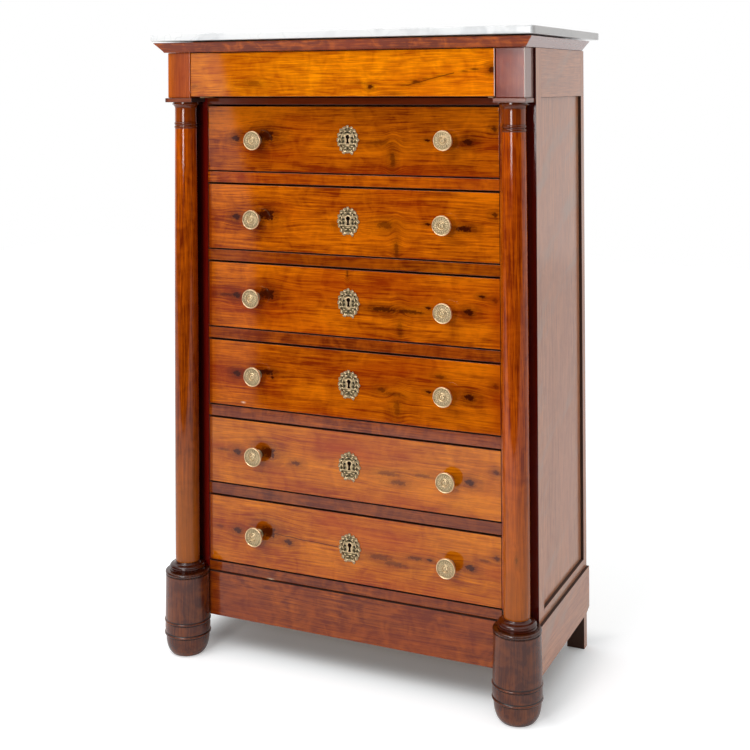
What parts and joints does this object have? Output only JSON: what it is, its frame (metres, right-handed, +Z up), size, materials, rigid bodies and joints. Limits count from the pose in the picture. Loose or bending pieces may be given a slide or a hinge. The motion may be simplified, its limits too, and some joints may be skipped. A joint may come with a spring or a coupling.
{
  "type": "chest of drawers",
  "caption": "Tall narrow wooden chest of drawers with turned front columns and feet, a hidden frieze drawer, brass knobs, pierced escutcheons and a marble top.",
  "frame": {"origin": "on the floor, under the middle of the whole chest's box", "axes": "+X to the right seen from the front, +Y to the back, +Z up; the drawers open towards -Y"},
  "size_m": [0.968, 0.5378, 1.5],
  "materials": {
    "front_wood": "french polished",
    "frieze_wood": "french polished",
    "side_wood": "french polished",
    "dark_wood": "stained and polished",
    "inner_wood": "bare, waxed",
    "brass": "aged, polished on the high spots",
    "marble": "polished"
  },
  "bodies": {
    "carcase": {"marble_top": "marble", "carcase_top": "inner_wood", "cornice_front": "front_wood", "cornice_left": "side_wood", "cornice_right": "side_wood", "frieze_block_left": "front_wood", "frieze_block_right": "front_wood", "capital_slab_left": "front_wood", "capital_slab_right": "front_wood", "column_left": "front_wood", "column_right": "front_wood", "front_foot_left": "dark_wood", "front_foot_right": "dark_wood", "side_frame_left": "side_wood", "side_frame_right": "side_wood", "side_panel_left": "side_wood", "side_panel_right": "side_wood", "plinth_front": "front_wood", "plinth_left": "side_wood", "plinth_right": "side_wood", "back_panel": "inner_wood", "drawer_divider_1": "front_wood", "drawer_divider_2": "front_wood", "drawer_divider_3": "front_wood", "drawer_divider_4": "front_wood", "drawer_divider_5": "front_wood", "drawer_divider_6": "front_wood", "drawer_divider_7": "front_wood"},
    "frieze_drawer": {"frieze_drawer_front": "frieze_wood", "frieze_drawer_box": "inner_wood"},
    "drawer_1": {"drawer_front_1": "front_wood", "drawer_box_1": "inner_wood", "knob_left_1": "brass", "knob_right_1": "brass", "escutcheon_1": "brass"},
    "drawer_2": {"drawer_front_2": "front_wood", "drawer_box_2": "inner_wood", "knob_left_2": "brass", "knob_right_2": "brass", "escutcheon_2": "brass"},
    "drawer_3": {"drawer_front_3": "front_wood", "drawer_box_3": "inner_wood", "knob_left_3": "brass", "knob_right_3": "brass", "escutcheon_3": "brass"},
    "drawer_4": {"drawer_front_4": "front_wood", "drawer_box_4": "inner_wood", "knob_left_4": "brass", "knob_right_4": "brass", "escutcheon_4": "brass"},
    "drawer_5": {"drawer_front_5": "front_wood", "drawer_box_5": "inner_wood", "knob_left_5": "brass", "knob_right_5": "brass", "escutcheon_5": "brass"},
    "drawer_6": {"drawer_front_6": "front_wood", "drawer_box_6": "inner_wood", "knob_left_6": "brass", "knob_right_6": "brass", "escutcheon_6": "brass"}
  },
  "joints": [
    {"name": "frieze_drawer_slide", "type": "slide", "parent": "carcase", "child": "frieze_drawer", "axis": [0, -1, 0], "range_m": [0, 0.32]},
    {"name": "drawer_1_slide", "type": "slide", "parent": "carcase", "child": "drawer_1", "axis": [0, -1, 0], "range_m": [0, 0.3]},
    {"name": "drawer_2_slide", "type": "slide", "parent": "carcase", "child": "drawer_2", "axis": [0, -1, 0], "range_m": [0, 0.3]},
    {"name": "drawer_3_slide", "type": "slide", "parent": "carcase", "child": "drawer_3", "axis": [0, -1, 0], "range_m": [0, 0.3]},
    {"name": "drawer_4_slide", "type": "slide", "parent": "carcase", "child": "drawer_4", "axis": [0, -1, 0], "range_m": [0, 0.3]},
    {"name": "drawer_5_slide", "type": "slide", "parent": "carcase", "child": "drawer_5", "axis": [0, -1, 0], "range_m": [0, 0.3]},
    {"name": "drawer_6_slide", "type": "slide", "parent": "carcase", "child": "drawer_6", "axis": [0, -1, 0], "range_m": [0, 0.3]}
  ]
}
